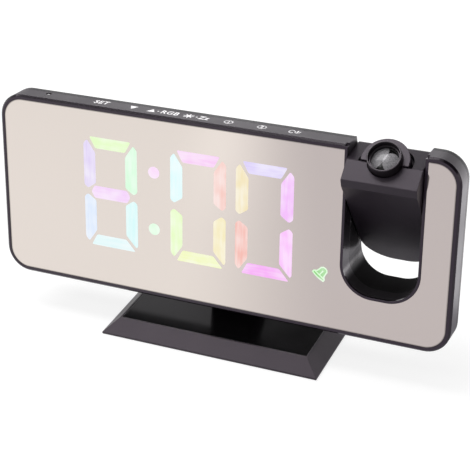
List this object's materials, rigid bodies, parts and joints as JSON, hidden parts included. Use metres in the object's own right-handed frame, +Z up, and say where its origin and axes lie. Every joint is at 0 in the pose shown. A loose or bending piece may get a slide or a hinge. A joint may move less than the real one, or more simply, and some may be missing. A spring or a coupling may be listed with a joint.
{
  "type": "projection alarm clock",
  "caption": "Mirror-faced alarm clock on a bevelled stand, with a projector arm that swings through a slot in its right-hand end.",
  "frame": {"origin": "centre of the stand's underside, on the table", "axes": "+Z up, the display faces -Y, +X to the right as seen from the front, along the clock's width"},
  "size_m": [0.19, 0.0529, 0.0957],
  "materials": {
    "case_plastic": "satin",
    "arm_plastic": "satin",
    "key_plastic": "satin",
    "barrel_plastic": "satin",
    "mask_plastic": "matte",
    "mirror_film": "half-silvered, mirror",
    "gloss_panel": "gloss",
    "pad": "matte",
    "steel": "satin",
    "board": "satin",
    "chip": "satin",
    "speaker_cone": "matte",
    "film": "gloss",
    "lens_glass": "polished",
    "lit_hour_tens_figure": "diffusing",
    "lit_hours_figure": "diffusing",
    "lit_minute_tens_figure": "diffusing",
    "lit_minutes_figure": "diffusing",
    "lit_colon": "diffusing",
    "lit_symbol": "diffusing"
  },
  "bodies": {
    "clock": {"front_frame": "case_plastic", "mirror_panel": "mirror_film", "rear_shell": "case_plastic", "light_mask": "mask_plastic", "hour_tens_figure": "lit_hour_tens_figure", "hours_figure": "lit_hours_figure", "minute_tens_figure": "lit_minute_tens_figure", "minutes_figure": "lit_minutes_figure", "colon_dots": "lit_colon", "alarm_symbol": "lit_symbol", "display_board": "board", "display_leds": "chip", "board_connector": "mask_plastic", "main_board": "board", "key_board": "board", "key_switches": "mask_plastic", "speaker": "speaker_cone", "backup_battery": "steel", "battery_contact": "steel", "power_socket": "steel", "light_sensor": "chip", "case_screws": "steel", "hinge_pins": "steel", "hinge_washers": "steel", "hinge_clips": "steel", "stand_base": "case_plastic", "stand_panel": "gloss_panel", "stand_pad": "pad", "stand_weight": "steel", "stand_neck": "case_plastic", "stand_screws": "steel"},
    "projector_arm": {"arm_front_shell": "arm_plastic", "arm_back_shell": "arm_plastic", "arm_screws": "steel", "lens_holder": "arm_plastic", "light_tube": "mask_plastic", "figure_film": "film", "condenser_lens": "lens_glass", "projector_board": "board", "projector_led": "chip"},
    "focus": {"focus_ring": "barrel_plastic"},
    "lens_carrier": {"lens_cell": "mask_plastic", "projection_lens": "lens_glass"},
    "door": {"battery_door": "case_plastic"},
    "key_set": {"key_set": "key_plastic"},
    "key_down": {"key_down": "key_plastic"},
    "key_up": {"key_up": "key_plastic"},
    "key_light": {"key_light": "key_plastic"},
    "key_alarm_one": {"key_alarm_one": "key_plastic"},
    "key_alarm_two": {"key_alarm_two": "key_plastic"},
    "key_projector": {"key_projector": "key_plastic"}
  },
  "joints": [
    {"name": "arm_swing", "type": "hinge", "parent": "clock", "child": "projector_arm", "pos_m": [0.0667, 0.00683, 0.07414], "axis": [1, 0, 0], "range_deg": [-130, 50]},
    {"name": "focus_turn", "type": "hinge", "parent": "projector_arm", "child": "focus", "pos_m": [0.0667, 0.00683, 0.07414], "axis": [0, -0.5505, 0.8348], "range_deg": [-122, 122]},
    {"name": "lens_travel", "type": "slide", "parent": "projector_arm", "child": "lens_carrier", "axis": [0, -0.5505, 0.8348], "range_m": [-0.0012, 0.0012]},
    {"name": "battery_door_tilt", "type": "hinge", "parent": "clock", "child": "door", "pos_m": [0.002, 0.01287, 0.03761], "axis": [-1, 0, 0], "range_deg": [0, 80]},
    {"name": "key_set_press", "type": "slide", "parent": "clock", "child": "key_set", "axis": [0, -0.3927, -0.9197], "range_m": [0, 0.0006], "stiffness_N_per_m": 400},
    {"name": "key_down_press", "type": "slide", "parent": "clock", "child": "key_down", "axis": [0, -0.3927, -0.9197], "range_m": [0, 0.0006], "stiffness_N_per_m": 400},
    {"name": "key_up_press", "type": "slide", "parent": "clock", "child": "key_up", "axis": [0, -0.3927, -0.9197], "range_m": [0, 0.0006], "stiffness_N_per_m": 400},
    {"name": "key_light_press", "type": "slide", "parent": "clock", "child": "key_light", "axis": [0, -0.3927, -0.9197], "range_m": [0, 0.0006], "stiffness_N_per_m": 400},
    {"name": "key_alarm_one_press", "type": "slide", "parent": "clock", "child": "key_alarm_one", "axis": [0, -0.3927, -0.9197], "range_m": [0, 0.0006], "stiffness_N_per_m": 400},
    {"name": "key_alarm_two_press", "type": "slide", "parent": "clock", "child": "key_alarm_two", "axis": [0, -0.3927, -0.9197], "range_m": [0, 0.0006], "stiffness_N_per_m": 400},
    {"name": "key_projector_press", "type": "slide", "parent": "clock", "child": "key_projector", "axis": [0, -0.3927, -0.9197], "range_m": [0, 0.0006], "stiffness_N_per_m": 400}
  ],
  "couplings": [
    {"joint": "focus_turn", "follows": "lens_travel", "rad_per_m": 1745.3}
  ]
}
